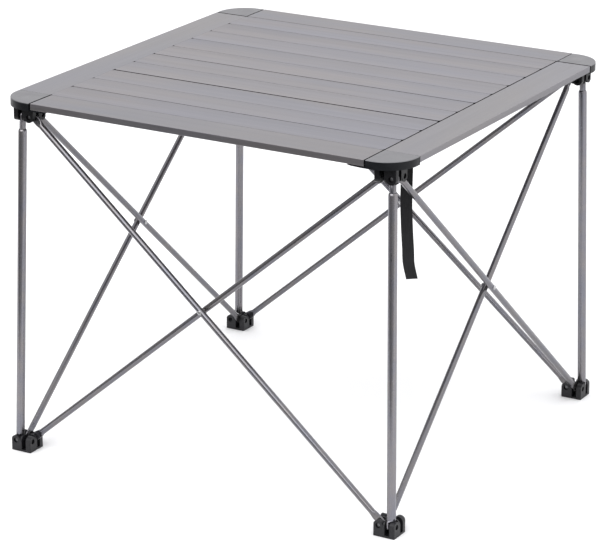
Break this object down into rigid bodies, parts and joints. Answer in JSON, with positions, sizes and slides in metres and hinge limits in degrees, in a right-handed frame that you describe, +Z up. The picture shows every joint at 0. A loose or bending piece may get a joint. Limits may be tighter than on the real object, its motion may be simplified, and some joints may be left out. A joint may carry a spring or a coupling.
{
  "type": "folding camp table",
  "caption": "Square camp table with a slatted aluminium top that rolls up, on a collapsible frame of crossed bars, telescopic legs and moulded hinge blocks.",
  "frame": {"origin": "on the floor, under the middle of the table", "axes": "+Z up; +X to the right along the front edge, along the slats; -Y towards the front"},
  "size_m": [0.7, 0.7, 0.58],
  "materials": {
    "rail": "grey anodised, fine brushed",
    "slat": "grey anodised, brushed lengthways",
    "cap": "moulded grey plastic, satin top, black skirt",
    "block": "moulded black nylon",
    "tube": "dark grey anodised",
    "steel": "bright pins and rivets",
    "webbing": "black ribbed webbing"
  },
  "bodies": {
    "foot_front_left": {"foot_block_front_left": "block", "leg_pin_low_front_left": "steel"},
    "head_front_left": {"head_block_front_left": "block", "leg_pin_high_front_left": "steel"},
    "leg_outer_front_left": {"leg_outer_front_left": "tube"},
    "leg_inner_front_left": {"leg_inner_front_left": "tube"},
    "foot_front_right": {"foot_block_front_right": "block", "leg_pin_low_front_right": "steel"},
    "head_front_right": {"head_block_front_right": "block", "leg_pin_high_front_right": "steel"},
    "leg_outer_front_right": {"leg_outer_front_right": "tube"},
    "leg_inner_front_right": {"leg_inner_front_right": "tube"},
    "foot_back_right": {"foot_block_back_right": "block", "leg_pin_low_back_right": "steel"},
    "head_back_right": {"head_block_back_right": "block", "leg_pin_high_back_right": "steel"},
    "leg_outer_back_right": {"leg_outer_back_right": "tube"},
    "leg_inner_back_right": {"leg_inner_back_right": "tube"},
    "foot_back_left": {"foot_block_back_left": "block", "leg_pin_low_back_left": "steel"},
    "head_back_left": {"head_block_back_left": "block", "leg_pin_high_back_left": "steel"},
    "leg_outer_back_left": {"leg_outer_back_left": "tube"},
    "leg_inner_back_left": {"leg_inner_back_left": "tube"},
    "bar_outer_front": {"bar_outer_front": "tube"},
    "bar_inner_front": {"bar_inner_front": "tube"},
    "bar_outer_right": {"bar_outer_right": "tube"},
    "bar_inner_right": {"bar_inner_right": "tube"},
    "bar_outer_back": {"bar_outer_back": "tube"},
    "bar_inner_back": {"bar_inner_back": "tube"},
    "bar_outer_left": {"bar_outer_left": "tube"},
    "bar_inner_left": {"bar_inner_left": "tube"},
    "crossing_front": {"crossing_rivet_front": "steel"},
    "crossing_right": {"crossing_rivet_right": "steel"},
    "crossing_back": {"crossing_rivet_back": "steel"},
    "crossing_left": {"crossing_rivet_left": "steel"},
    "tabletop": {"left_rail": "rail", "right_rail": "rail", "back_rail": "rail", "cap_front_left": "cap", "cap_front_right": "cap", "cap_back_right": "cap", "cap_back_left": "cap", "storage_strap": "webbing", "strap_rivet": "steel"},
    "slat_10": {"slat_10": "slat"},
    "slat_09": {"slat_09": "slat"},
    "slat_08": {"slat_08": "slat"},
    "slat_07": {"slat_07": "slat"},
    "slat_06": {"slat_06": "slat"},
    "slat_05": {"slat_05": "slat"},
    "slat_04": {"slat_04": "slat"},
    "slat_03": {"slat_03": "slat"},
    "slat_02": {"slat_02": "slat"},
    "slat_01": {"slat_01": "slat"},
    "front_rail": {"front_rail": "rail"}
  },
  "joints": [
    {"name": "frame_fold", "type": "hinge", "parent": "foot_front_left", "child": "bar_inner_front", "pos_m": [-0.31828, -0.3226, 0.017], "axis": [0.0208, -0.9998, 0], "range_deg": [0, 47.5], "deforming": ["storage_strap"]},
    {"name": "head_front_right_pivot", "type": "hinge", "parent": "bar_inner_front", "child": "head_front_right", "pos_m": [0.30528, -0.3096, 0.551], "axis": [0.0208, -0.9998, 0], "range_deg": [-47.5, 0]},
    {"name": "crossing_front_inner", "type": "hinge", "parent": "bar_inner_front", "child": "crossing_front", "pos_m": [0, -0.31596, 0.28957], "axis": [0.0208, -0.9998, 0], "range_deg": [-47.5, 0]},
    {"name": "crossing_front_outer", "type": "hinge", "parent": "crossing_front", "child": "bar_outer_front", "pos_m": [0, -0.32676, 0.28957], "axis": [0.0208, 0.9998, 0], "range_deg": [0, 47.5]},
    {"name": "head_front_left_pivot", "type": "hinge", "parent": "bar_outer_front", "child": "head_front_left", "pos_m": [-0.30528, -0.3204, 0.551], "axis": [0.0208, 0.9998, 0], "range_deg": [-47.5, 0]},
    {"name": "foot_front_right_pivot", "type": "hinge", "parent": "bar_outer_front", "child": "foot_front_right", "pos_m": [0.31828, -0.3334, 0.017], "axis": [0.0208, 0.9998, 0], "range_deg": [-47.5, 0]},
    {"name": "bar_outer_left_pivot", "type": "hinge", "parent": "foot_front_left", "child": "bar_outer_left", "pos_m": [-0.3334, -0.31828, 0.017], "axis": [0.9998, -0.0208, 0], "range_deg": [0, 47.5]},
    {"name": "head_back_left_pivot", "type": "hinge", "parent": "bar_outer_left", "child": "head_back_left", "pos_m": [-0.3204, 0.30528, 0.551], "axis": [0.9998, -0.0208, 0], "range_deg": [-47.5, 0]},
    {"name": "bar_outer_right_pivot", "type": "hinge", "parent": "head_front_right", "child": "bar_outer_right", "pos_m": [0.3204, -0.30528, 0.551], "axis": [-0.9998, 0.0208, 0], "range_deg": [0, 47.5]},
    {"name": "foot_back_right_pivot", "type": "hinge", "parent": "bar_outer_right", "child": "foot_back_right", "pos_m": [0.3334, 0.31828, 0.017], "axis": [-0.9998, 0.0208, 0], "range_deg": [-47.5, 0]},
    {"name": "bar_inner_right_pivot", "type": "hinge", "parent": "foot_front_right", "child": "bar_inner_right", "pos_m": [0.3226, -0.31828, 0.017], "axis": [0.9998, 0.0208, 0], "range_deg": [0, 47.5]},
    {"name": "head_back_right_pivot", "type": "hinge", "parent": "bar_inner_right", "child": "head_back_right", "pos_m": [0.3096, 0.30528, 0.551], "axis": [0.9998, 0.0208, 0], "range_deg": [-47.5, 0]},
    {"name": "bar_inner_left_pivot", "type": "hinge", "parent": "head_front_left", "child": "bar_inner_left", "pos_m": [-0.3096, -0.30528, 0.551], "axis": [-0.9998, -0.0208, 0], "range_deg": [0, 47.5]},
    {"name": "foot_back_left_pivot", "type": "hinge", "parent": "bar_inner_left", "child": "foot_back_left", "pos_m": [-0.3226, 0.31828, 0.017], "axis": [-0.9998, -0.0208, 0], "range_deg": [-47.5, 0]},
    {"name": "bar_outer_back_pivot", "type": "hinge", "parent": "head_back_right", "child": "bar_outer_back", "pos_m": [0.30528, 0.3204, 0.551], "axis": [-0.0208, -0.9998, 0], "range_deg": [0, 47.5]},
    {"name": "bar_inner_back_pivot", "type": "hinge", "parent": "head_back_left", "child": "bar_inner_back", "pos_m": [-0.30528, 0.3096, 0.551], "axis": [-0.0208, 0.9998, 0], "range_deg": [0, 47.5]},
    {"name": "crossing_right_pivot", "type": "hinge", "parent": "bar_outer_right", "child": "crossing_right", "pos_m": [0.32676, 0, 0.28957], "axis": [-0.9998, 0.0208, 0], "range_deg": [-47.5, 0]},
    {"name": "crossing_back_pivot", "type": "hinge", "parent": "bar_outer_back", "child": "crossing_back", "pos_m": [0, 0.32676, 0.28957], "axis": [-0.0208, -0.9998, 0], "range_deg": [-47.5, 0]},
    {"name": "crossing_left_pivot", "type": "hinge", "parent": "bar_outer_left", "child": "crossing_left", "pos_m": [-0.32676, 0, 0.28957], "axis": [0.9998, -0.0208, 0], "range_deg": [-47.5, 0]},
    {"name": "leg_outer_front_left_lean", "type": "hinge", "parent": "foot_front_left", "child": "leg_outer_front_left", "pos_m": [-0.3357, -0.3357, 0.017], "axis": [0.7071, -0.7071, 0], "range_deg": [0, 2.06]},
    {"name": "leg_inner_front_left_lean", "type": "hinge", "parent": "head_front_left", "child": "leg_inner_front_left", "pos_m": [-0.3227, -0.3227, 0.551], "axis": [0.7071, -0.7071, 0], "range_deg": [0, 2.06]},
    {"name": "leg_outer_front_right_lean", "type": "hinge", "parent": "foot_front_right", "child": "leg_outer_front_right", "pos_m": [0.3357, -0.3357, 0.017], "axis": [0.7071, 0.7071, 0], "range_deg": [0, 2.06]},
    {"name": "leg_inner_front_right_lean", "type": "hinge", "parent": "head_front_right", "child": "leg_inner_front_right", "pos_m": [0.3227, -0.3227, 0.551], "axis": [0.7071, 0.7071, 0], "range_deg": [0, 2.06]},
    {"name": "leg_outer_back_right_lean", "type": "hinge", "parent": "foot_back_right", "child": "leg_outer_back_right", "pos_m": [0.3357, 0.3357, 0.017], "axis": [-0.7071, 0.7071, 0], "range_deg": [0, 2.06]},
    {"name": "leg_inner_back_right_lean", "type": "hinge", "parent": "head_back_right", "child": "leg_inner_back_right", "pos_m": [0.3227, 0.3227, 0.551], "axis": [-0.7071, 0.7071, 0], "range_deg": [0, 2.06]},
    {"name": "leg_outer_back_left_lean", "type": "hinge", "parent": "foot_back_left", "child": "leg_outer_back_left", "pos_m": [-0.3357, 0.3357, 0.017], "axis": [-0.7071, -0.7071, 0], "range_deg": [0, 2.06]},
    {"name": "leg_inner_back_left_lean", "type": "hinge", "parent": "head_back_left", "child": "leg_inner_back_left", "pos_m": [-0.3227, 0.3227, 0.551], "axis": [-0.7071, -0.7071, 0], "range_deg": [0, 2.06]},
    {"name": "tabletop_lift", "type": "slide", "parent": "head_front_left", "child": "tabletop", "axis": [0, 0, 1], "range_m": [0, 0.12]},
    {"name": "tabletop_roll", "type": "hinge", "parent": "tabletop", "child": "slat_10", "pos_m": [0, 0.29167, 0.58], "axis": [-1, 0, 0], "range_deg": [0, 28]},
    {"name": "slat_09_roll", "type": "hinge", "parent": "slat_10", "child": "slat_09", "pos_m": [0, 0.23333, 0.58], "axis": [-1, 0, 0], "range_deg": [0, 28]},
    {"name": "slat_08_roll", "type": "hinge", "parent": "slat_09", "child": "slat_08", "pos_m": [0, 0.175, 0.58], "axis": [-1, 0, 0], "range_deg": [0, 28]},
    {"name": "slat_07_roll", "type": "hinge", "parent": "slat_08", "child": "slat_07", "pos_m": [0, 0.11667, 0.58], "axis": [-1, 0, 0], "range_deg": [0, 28]},
    {"name": "slat_06_roll", "type": "hinge", "parent": "slat_07", "child": "slat_06", "pos_m": [0, 0.05833, 0.58], "axis": [-1, 0, 0], "range_deg": [0, 28]},
    {"name": "slat_05_roll", "type": "hinge", "parent": "slat_06", "child": "slat_05", "pos_m": [0, 0, 0.58], "axis": [-1, 0, 0], "range_deg": [0, 28]},
    {"name": "slat_04_roll", "type": "hinge", "parent": "slat_05", "child": "slat_04", "pos_m": [0, -0.05833, 0.58], "axis": [-1, 0, 0], "range_deg": [0, 28]},
    {"name": "slat_03_roll", "type": "hinge", "parent": "slat_04", "child": "slat_03", "pos_m": [0, -0.11667, 0.58], "axis": [-1, 0, 0], "range_deg": [0, 28]},
    {"name": "slat_02_roll", "type": "hinge", "parent": "slat_03", "child": "slat_02", "pos_m": [0, -0.175, 0.58], "axis": [-1, 0, 0], "range_deg": [0, 28]},
    {"name": "slat_01_roll", "type": "hinge", "parent": "slat_02", "child": "slat_01", "pos_m": [0, -0.23333, 0.58], "axis": [-1, 0, 0], "range_deg": [0, 28]},
    {"name": "front_rail_roll", "type": "hinge", "parent": "slat_01", "child": "front_rail", "pos_m": [0, -0.29167, 0.58], "axis": [-1, 0, 0], "range_deg": [0, 28]}
  ],
  "couplings": [
    {"joint": "head_front_right_pivot", "follows": "frame_fold", "ratio": -1},
    {"joint": "crossing_front_inner", "follows": "frame_fold", "ratio": -1},
    {"joint": "crossing_front_outer", "follows": "frame_fold", "ratio": 1},
    {"joint": "head_front_left_pivot", "follows": "frame_fold", "ratio": -1},
    {"joint": "foot_front_right_pivot", "follows": "frame_fold", "ratio": -1},
    {"joint": "bar_outer_left_pivot", "follows": "frame_fold", "ratio": 1},
    {"joint": "head_back_left_pivot", "follows": "frame_fold", "ratio": -1},
    {"joint": "bar_outer_right_pivot", "follows": "frame_fold", "ratio": 1},
    {"joint": "foot_back_right_pivot", "follows": "frame_fold", "ratio": -1},
    {"joint": "bar_inner_right_pivot", "follows": "frame_fold", "ratio": 1},
    {"joint": "head_back_right_pivot", "follows": "frame_fold", "ratio": -1},
    {"joint": "bar_inner_left_pivot", "follows": "frame_fold", "ratio": 1},
    {"joint": "foot_back_left_pivot", "follows": "frame_fold", "ratio": -1},
    {"joint": "bar_outer_back_pivot", "follows": "frame_fold", "ratio": 1},
    {"joint": "bar_inner_back_pivot", "follows": "frame_fold", "ratio": 1},
    {"joint": "crossing_right_pivot", "follows": "frame_fold", "ratio": -1},
    {"joint": "crossing_back_pivot", "follows": "frame_fold", "ratio": -1},
    {"joint": "crossing_left_pivot", "follows": "frame_fold", "ratio": -1},
    {"joint": "leg_outer_front_left_lean", "follows": "frame_fold", "ratio": 0.0433},
    {"joint": "leg_inner_front_left_lean", "follows": "frame_fold", "ratio": 0.0433},
    {"joint": "leg_outer_front_right_lean", "follows": "frame_fold", "ratio": 0.0433},
    {"joint": "leg_inner_front_right_lean", "follows": "frame_fold", "ratio": 0.0433},
    {"joint": "leg_outer_back_right_lean", "follows": "frame_fold", "ratio": 0.0433},
    {"joint": "leg_inner_back_right_lean", "follows": "frame_fold", "ratio": 0.0433},
    {"joint": "leg_outer_back_left_lean", "follows": "frame_fold", "ratio": 0.0433},
    {"joint": "leg_inner_back_left_lean", "follows": "frame_fold", "ratio": 0.0433},
    {"joint": "slat_09_roll", "follows": "tabletop_roll", "ratio": 1},
    {"joint": "slat_08_roll", "follows": "tabletop_roll", "ratio": 1},
    {"joint": "slat_07_roll", "follows": "tabletop_roll", "ratio": 1},
    {"joint": "slat_06_roll", "follows": "tabletop_roll", "ratio": 1},
    {"joint": "slat_05_roll", "follows": "tabletop_roll", "ratio": 1},
    {"joint": "slat_04_roll", "follows": "tabletop_roll", "ratio": 1},
    {"joint": "slat_03_roll", "follows": "tabletop_roll", "ratio": 1},
    {"joint": "slat_02_roll", "follows": "tabletop_roll", "ratio": 1},
    {"joint": "slat_01_roll", "follows": "tabletop_roll", "ratio": 1},
    {"joint": "front_rail_roll", "follows": "tabletop_roll", "ratio": 1}
  ]
}
